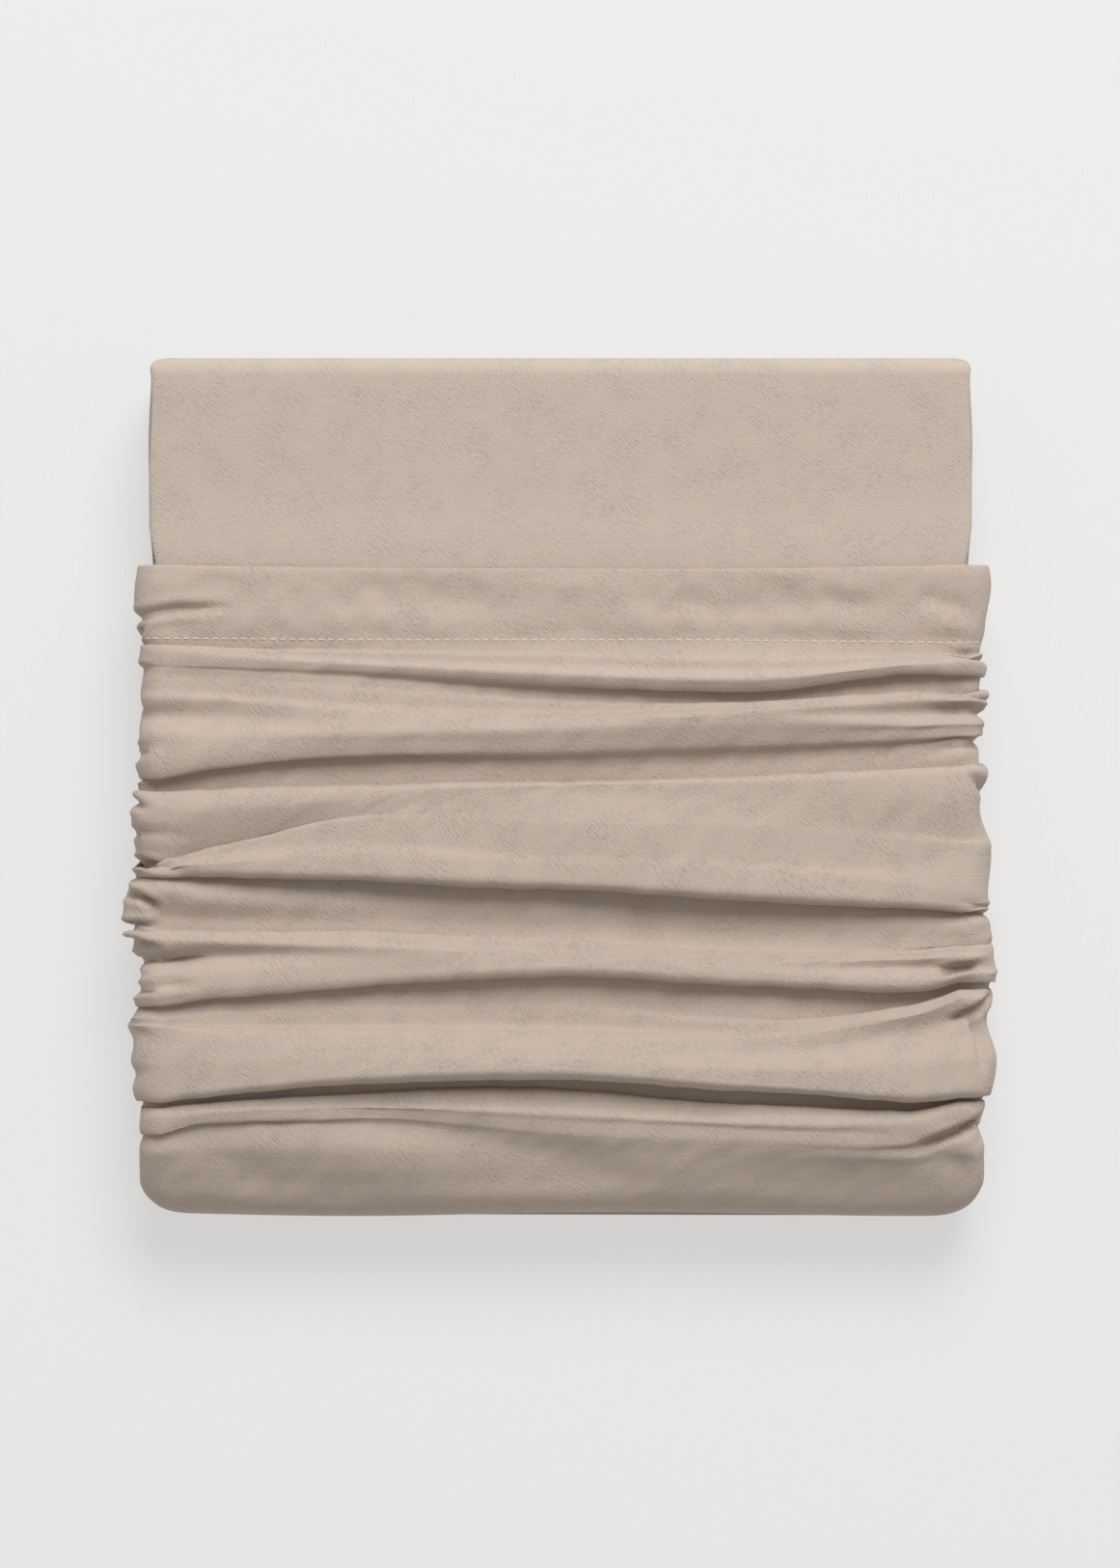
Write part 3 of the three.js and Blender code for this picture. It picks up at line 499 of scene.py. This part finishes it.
def makeStitches():
    # a tapered capsule at each step along the stitch line, laid on the cloth
    line = slipGrid[stitchRow]
    normal = slipNormal[stitchRow]
    line, normal = np.concatenate([line, line[:1]]), np.concatenate([normal, normal[:1]])
    travel = np.concatenate([[0], np.cumsum(np.linalg.norm(np.diff(line, axis=0), axis=1))])
    centre = np.arange(stitch["pitch"] / 2, travel[-1], stitch["pitch"])
    at = np.stack([np.interp(centre, travel, line[:, k]) for k in range(3)], 1)
    up = np.stack([np.interp(centre, travel, normal[:, k]) for k in range(3)], 1)
    ahead = np.stack([np.interp(centre + 0.5, travel, line[:, k]) for k in range(3)], 1) - at
    keep = at[:, 2] > 2
    at, up, ahead = at[keep], up[keep], ahead[keep]
    ahead /= np.linalg.norm(ahead, axis=1, keepdims=True)
    up /= np.linalg.norm(up, axis=1, keepdims=True)
    across = np.cross(ahead, up)
    t = np.linspace(-1, 1, stitch["rings"])
    angle = np.linspace(0, 2 * math.pi, stitch["sides"], endpoint=False)
    girth = stitch["radius"] * np.sqrt(np.maximum(0.06, 1 - np.abs(t) ** 3))
    shape = np.stack([
        np.repeat(t * stitch["length"] / 2, stitch["sides"]),
        np.outer(girth, np.cos(angle)).ravel(),
        np.outer(girth, np.sin(angle)).ravel()
        + np.repeat(stitch["radius"] * (1 - t * t), stitch["sides"]) * 0.8,
    ], 1)
    shape[:, 2] -= stitch["sunk"]
    points = (at[:, None, :] + shape[None, :, :1] * ahead[:, None] + shape[None, :, 1:2] * across[:, None]
              + shape[None, :, 2:] * up[:, None])
    rings, sides = stitch["rings"], stitch["sides"]
    quads = gridFaces(rings, sides, True)[:, ::-1]
    offsets = np.arange(len(at)) * rings * sides
    faces = (quads[None] + offsets[:, None, None]).reshape(-1, 4)
    first = np.arange(sides)
    caps = [list(o + first) for o in offsets]
    caps += [list(o + (rings - 1) * sides + first[::-1]) for o in offsets]
    return makePiece("hemStitches", points.reshape(-1, 3), faces, np.zeros((0, 2)), caps)


stitchPiece = makeStitches()
print("stitches:", len(stitchPiece.data.polygons), "faces")


# the folded cover
cover = {
    "halfWidths": [166.2, 169.2, 170, 170, 169.2, 167.6],
    "bareEnds": [175.6, 177, 178.4],
    "hiddenEnds": [-157, -168, -163, -145],
    "bareCorner": 5.0,
    "hiddenCorner": 12.0,
    "centreX": 0.2,
    "edgeRound": 2.6,
    "bareSpread": 3.0,
    "pliesPerEdge": 4,
    "plyDepth": 0.55,
    "sagFrom": 94.0,
    "sagTo": 122.0,
    "runRows": 46,
    "turnRows": 12,
    "faceColumns": 56,
}


def stripPath():
    # centre line of the strip through its layers with a half turn at each fold:
    # y, z, thickness direction and half width, one row a step
    turn = layerPitch / 2
    outerTurn = turn + pack["stripThickness"] / 2
    count = pack["layers"]
    rows = []
    for i in range(count):
        outward = i % 2 == 0
        bare = cover["bareEnds"][i // 2] - outerTurn
        hidden = cover["hiddenEnds"][(i + 1) // 2] + (0 if i in (0, count - 1) else outerTurn)
        start, stop = (hidden, bare) if outward else (bare, hidden)
        z = pack["lift"] + pack["stripThickness"] / 2 + i * layerPitch
        y = np.linspace(start, stop, cover["runRows"])
        sign = 1.0 if outward else -1.0
        layerHalf = cover["halfWidths"][i]
        rows.append(np.stack([y, 0 * y + z, 0 * y, 0 * y + sign, 0 * y + layerHalf, 0 * y + i], 1))
        if i + 1 < count:
            k = np.linspace(0, 1, cover["turnRows"] + 1)[1:-1]
            angle = math.pi * k
            width = mix(cover["halfWidths"][i], cover["halfWidths"][i + 1], k)
            rows.append(np.stack([stop + sign * turn * np.sin(angle), z + turn - turn * np.cos(angle),
                                  -np.sin(angle), sign * np.cos(angle), width, i + k], 1))
    return np.concatenate(rows)


def stripOutline():
    # closed outline across the strip: flat faces, and edges of small rounded plies
    plies = cover["pliesPerEdge"]
    face = np.linspace(-1, 1, cover["faceColumns"])
    t = np.linspace(-1, 1, plies * 6 + 1)
    lobe = np.abs(np.cos(np.pi * plies * (t + 1) / 2 + math.pi / 2))
    edge = np.sqrt(np.maximum(0, 1 - np.abs(t) ** 5)) - cover["plyDepth"] / cover["edgeRound"] * (1 - lobe)
    share = np.concatenate([face, np.ones(len(t) - 2), face[::-1], -np.ones(len(t) - 2)])
    out = np.concatenate([0 * face, edge[1:-1], 0 * face, -edge[1:-1]])
    up = np.concatenate([0 * face - 1, t[1:-1], 0 * face + 1, t[-2:0:-1]])
    return share, out, up


def cornerInset(y):
    # how far a rounded corner draws the edge in at y: radius - sqrt(radius^2 - past^2)
    bare = np.clip(y - max(cover["bareEnds"]) + cover["bareCorner"], 0, cover["bareCorner"])
    hidden = np.clip(min(cover["hiddenEnds"]) + cover["hiddenCorner"] - y, 0, cover["hiddenCorner"])
    r, q = cover["bareCorner"], cover["hiddenCorner"]
    return r - np.sqrt(np.maximum(0, r * r - bare ** 2)) + q - np.sqrt(np.maximum(0, q * q - hidden ** 2))


def makeCover():
    path = stripPath()
    share, out, up = stripOutline()
    y, z, ny, nz, half, layer = (path[:, k:k + 1] for k in range(6))
    e = pack["stripThickness"] / 2
    py = y + ny * up * e
    pz = z + nz * up * e
    flat = half - cover["edgeRound"] - cornerInset(py)
    # uneven edges, and an upper layer that spreads where it lies bare
    flat = flat + 0.5 * np.sin(py / 23 + 2.1 * layer) + 0.35 * np.sin(py / 9.5 + 1.3 * layer)
    flat = flat + cover["bareSpread"] * smoothStep(3.5, 4.5, layer) * smoothStep(91, 108, py)
    px = cover["centreX"] + share * flat + out * cover["edgeRound"]
    pz = pz - pack["lift"] * smoothStep(cover["sagFrom"], cover["sagTo"], py)
    bare = smoothStep(96, 110, py) * smoothStep(4.5, 5.5, layer) * (up < 0)
    pz = pz + bare * waveField(px, py, randomWaves(11, 10, (60, 160), (0, 180), 0.09))
    pz = np.maximum(pz, 0)
    points = np.stack([px, py, pz], -1)
    rows, columns = px.shape
    travel = np.concatenate([[0], np.cumsum(np.hypot(np.diff(path[:, 0]), np.diff(path[:, 1])))])
    girth = np.concatenate([[0], np.cumsum(np.linalg.norm(np.diff(points.mean(0), axis=0), axis=-1))])
    u, v = np.broadcast_arrays(girth[None, :], travel[:, None])
    faces = gridFaces(rows, columns, True)
    first = list(range(columns))
    last = [(rows - 1) * columns + c for c in range(columns - 1, -1, -1)]
    return makePiece("foldedCover", points.reshape(-1, 3), faces, gridUv(u, v, True), [first, last])


coverPiece = makeCover()
print("cover:", len(coverPiece.data.polygons), "faces")


# washed cotton
cotton = {
    "slip": {"colour": (0.497, 0.412, 0.349), "crinkle": 0.6, "weave": 0.4},
    "cover": {"colour": (0.512, 0.431, 0.371), "crinkle": 0.55, "weave": 0.4},
}


def addNode(tree, kind, **settings):
    node = tree.nodes.new(kind)
    for key, value in settings.items():
        setattr(node, key, value)
    return node


def makeCotton(name, look):
    material = bpy.data.materials.new(name)
    material.use_nodes = True
    tree = material.node_tree
    link = tree.links.new
    shader = tree.nodes["Principled BSDF"]
    shader.inputs["Roughness"].default_value = 0.92
    shader.inputs["Specular IOR Level"].default_value = 0.18
    shader.inputs["Sheen Weight"].default_value = 0.12
    shader.inputs["Sheen Roughness"].default_value = 0.6
    uv = addNode(tree, "ShaderNodeUVMap", uv_map="clothUv")
    # short slanting crinkles of the washed cloth: noise drawn out along one slant
    slant = addNode(tree, "ShaderNodeMapping", vector_type="TEXTURE")
    slant.inputs["Rotation"].default_value = (0, 0, math.radians(44))
    slant.inputs["Scale"].default_value = (1 / 320, 1 / 1250, 1)
    link(uv.outputs["UV"], slant.inputs["Vector"])
    crinkle = addNode(tree, "ShaderNodeTexNoise")
    crinkle.inputs["Scale"].default_value = 1.0
    crinkle.inputs["Detail"].default_value = 3.0
    crinkle.inputs["Roughness"].default_value = 0.6
    link(slant.outputs["Vector"], crinkle.inputs["Vector"])
    # only the strongest of them show
    marks = addNode(tree, "ShaderNodeMapRange")
    marks.inputs["From Min"].default_value = 0.5
    marks.inputs["From Max"].default_value = 0.74
    link(crinkle.outputs["Fac"], marks.inputs["Value"])
    # plain weave: two crossed sets of threads
    threads = []
    for direction in ("X", "Y"):
        wave = addNode(tree, "ShaderNodeTexWave", wave_type="BANDS", bands_direction=direction)
        wave.inputs["Scale"].default_value = 600.0
        wave.inputs["Distortion"].default_value = 1.2
        wave.inputs["Detail"].default_value = 1.0
        link(uv.outputs["UV"], wave.inputs["Vector"])
        threads.append(wave)
    weave = addNode(tree, "ShaderNodeMath", operation="MULTIPLY")
    link(threads[0].outputs["Fac"], weave.inputs[0])
    link(threads[1].outputs["Fac"], weave.inputs[1])
    fine = addNode(tree, "ShaderNodeBump")
    fine.inputs["Strength"].default_value = look["weave"]
    fine.inputs["Distance"].default_value = 0.0002
    link(weave.outputs[0], fine.inputs["Height"])
    # the crinkles come in patches
    cluster = addNode(tree, "ShaderNodeTexNoise")
    cluster.inputs["Scale"].default_value = 70.0
    cluster.inputs["Detail"].default_value = 2.0
    link(uv.outputs["UV"], cluster.inputs["Vector"])
    share = addNode(tree, "ShaderNodeMapRange")
    share.inputs["From Min"].default_value = 0.42
    share.inputs["From Max"].default_value = 0.66
    share.inputs["To Min"].default_value = 0.45
    share.inputs["To Max"].default_value = 1.15
    link(cluster.outputs["Fac"], share.inputs["Value"])
    depth = addNode(tree, "ShaderNodeMath", operation="MULTIPLY")
    link(marks.outputs["Result"], depth.inputs[0])
    link(share.outputs["Result"], depth.inputs[1])
    coarse = addNode(tree, "ShaderNodeBump")
    coarse.inputs["Strength"].default_value = look["crinkle"]
    coarse.inputs["Distance"].default_value = 0.0007
    link(depth.outputs[0], coarse.inputs["Height"])
    link(fine.outputs["Normal"], coarse.inputs["Normal"])
    link(coarse.outputs["Normal"], shader.inputs["Normal"])
    # uneven dye: broad soft patches and faint streaks
    patches = addNode(tree, "ShaderNodeTexNoise")
    patches.inputs["Scale"].default_value = 110.0
    patches.inputs["Detail"].default_value = 4.0
    link(uv.outputs["UV"], patches.inputs["Vector"])
    ramp = addNode(tree, "ShaderNodeValToRGB")
    r, g, b = look["colour"]
    ramp.color_ramp.elements[0].position = 0.3
    ramp.color_ramp.elements[0].color = (r * 0.975, g * 0.98, b * 0.995, 1)
    ramp.color_ramp.elements[1].position = 0.7
    ramp.color_ramp.elements[1].color = (r * 1.03, g * 1.02, b * 0.995, 1)
    link(patches.outputs["Fac"], ramp.inputs["Fac"])
    streak = addNode(tree, "ShaderNodeMapRange")
    streak.inputs["From Min"].default_value = 0.3
    streak.inputs["From Max"].default_value = 0.7
    streak.inputs["To Min"].default_value = 0.97
    streak.inputs["To Max"].default_value = 1.04
    link(crinkle.outputs["Fac"], streak.inputs["Value"])
    tint = addNode(tree, "ShaderNodeMix", data_type="RGBA", blend_type="MULTIPLY")
    tint.inputs["Factor"].default_value = 1.0
    link(ramp.outputs["Color"], tint.inputs[6])
    link(streak.outputs["Result"], tint.inputs[7])
    link(tint.outputs[2], shader.inputs["Base Color"])
    return material


def makeThread():
    material = bpy.data.materials.new("paleThread")
    material.use_nodes = True
    tree = material.node_tree
    shader = tree.nodes["Principled BSDF"]
    shader.inputs["Roughness"].default_value = 0.75
    spot = addNode(tree, "ShaderNodeTexCoord")
    grain = addNode(tree, "ShaderNodeTexNoise")
    grain.inputs["Scale"].default_value = 900.0
    ramp = addNode(tree, "ShaderNodeValToRGB")
    ramp.color_ramp.elements[0].color = (0.66, 0.58, 0.50, 1)
    ramp.color_ramp.elements[1].color = (0.80, 0.74, 0.66, 1)
    tree.links.new(spot.outputs["Object"], grain.inputs["Vector"])
    tree.links.new(grain.outputs["Fac"], ramp.inputs["Fac"])
    tree.links.new(ramp.outputs["Color"], shader.inputs["Base Color"])
    return material


slipPiece.data.materials.append(makeCotton("slipCotton", cotton["slip"]))
coverPiece.data.materials.append(makeCotton("coverCotton", cotton["cover"]))
stitchPiece.data.materials.append(makeThread())

for piece in (slipPiece, coverPiece, stitchPiece):
    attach(piece, "root")
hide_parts("gathered_slip")
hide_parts("folded_cover")


# floor, light and camera
stage = {
    "floorSize": 12.0,
    "floorColour": (0.26, 0.26, 0.26),
    "floorGlow": 0.545,
    "keyPlace": (0.5, 2.55, 2.75),
    "keySize": 2.2,
    "keyPower": 133.0,
    "keyColour": (0.98, 0.99, 1.0),
    "worldColour": (1.0, 0.968, 0.94),
    "worldStrength": 0.43,
    "cameraHeight": 2.6,
    "pixel": 0.4,
    "frameHeight": 1625,
    "levelInFocus": 45.0,
    "aim": (0.0, 1.4),
}


def makeFloor():
    half = stage["floorSize"] / 2
    mesh = bpy.data.meshes.new("paleFloor")
    low = -0.0003
    corners = [(-half, -half, low), (half, -half, low), (half, half, low), (-half, half, low)]
    mesh.from_pydata(corners, [], [(0, 1, 2, 3)])
    floor = bpy.data.objects.new("paleFloor", mesh)
    bpy.context.scene.collection.objects.link(floor)
    material = bpy.data.materials.new("paleFloor")
    material.use_nodes = True
    shader = material.node_tree.nodes["Principled BSDF"]
    shader.inputs["Base Color"].default_value = (*stage["floorColour"], 1)
    shader.inputs["Roughness"].default_value = 0.95
    shader.inputs["Specular IOR Level"].default_value = 0.1
    shader.inputs["Emission Color"].default_value = (1, 1, 1, 1)
    shader.inputs["Emission Strength"].default_value = stage["floorGlow"]
    mesh.materials.append(material)


def makeLight():
    data = bpy.data.lights.new("key", "AREA")
    data.shape = "DISK"
    data.size = stage["keySize"]
    data.energy = stage["keyPower"]
    data.color = stage["keyColour"]
    lamp = bpy.data.objects.new("key", data)
    lamp.location = stage["keyPlace"]
    x, y, z = stage["keyPlace"]
    lamp.rotation_euler = (math.atan2(math.hypot(x, y), z), 0, math.atan2(y, x) + math.pi / 2)
    bpy.context.scene.collection.objects.link(lamp)
    world = bpy.data.worlds.new("softRoom")
    world.use_nodes = True
    background = world.node_tree.nodes["Background"]
    background.inputs["Color"].default_value = (*stage["worldColour"], 1)
    background.inputs["Strength"].default_value = stage["worldStrength"]
    bpy.context.scene.world = world


def makeCamera():
    data = bpy.data.cameras.new("above")
    data.sensor_width = 36.0
    reach = stage["cameraHeight"] - stage["levelInFocus"] * metre
    data.lens = 36.0 * reach / (stage["pixel"] * stage["frameHeight"] * metre)
    data.clip_end = 50.0
    camera = bpy.data.objects.new("above", data)
    camera.location = (stage["aim"][0] * metre, stage["aim"][1] * metre, stage["cameraHeight"])
    bpy.context.scene.collection.objects.link(camera)
    bpy.context.scene.camera = camera


makeFloor()
makeLight()
makeCamera()
bpy.context.scene.view_settings.view_transform = "Standard"
print("stage ready")
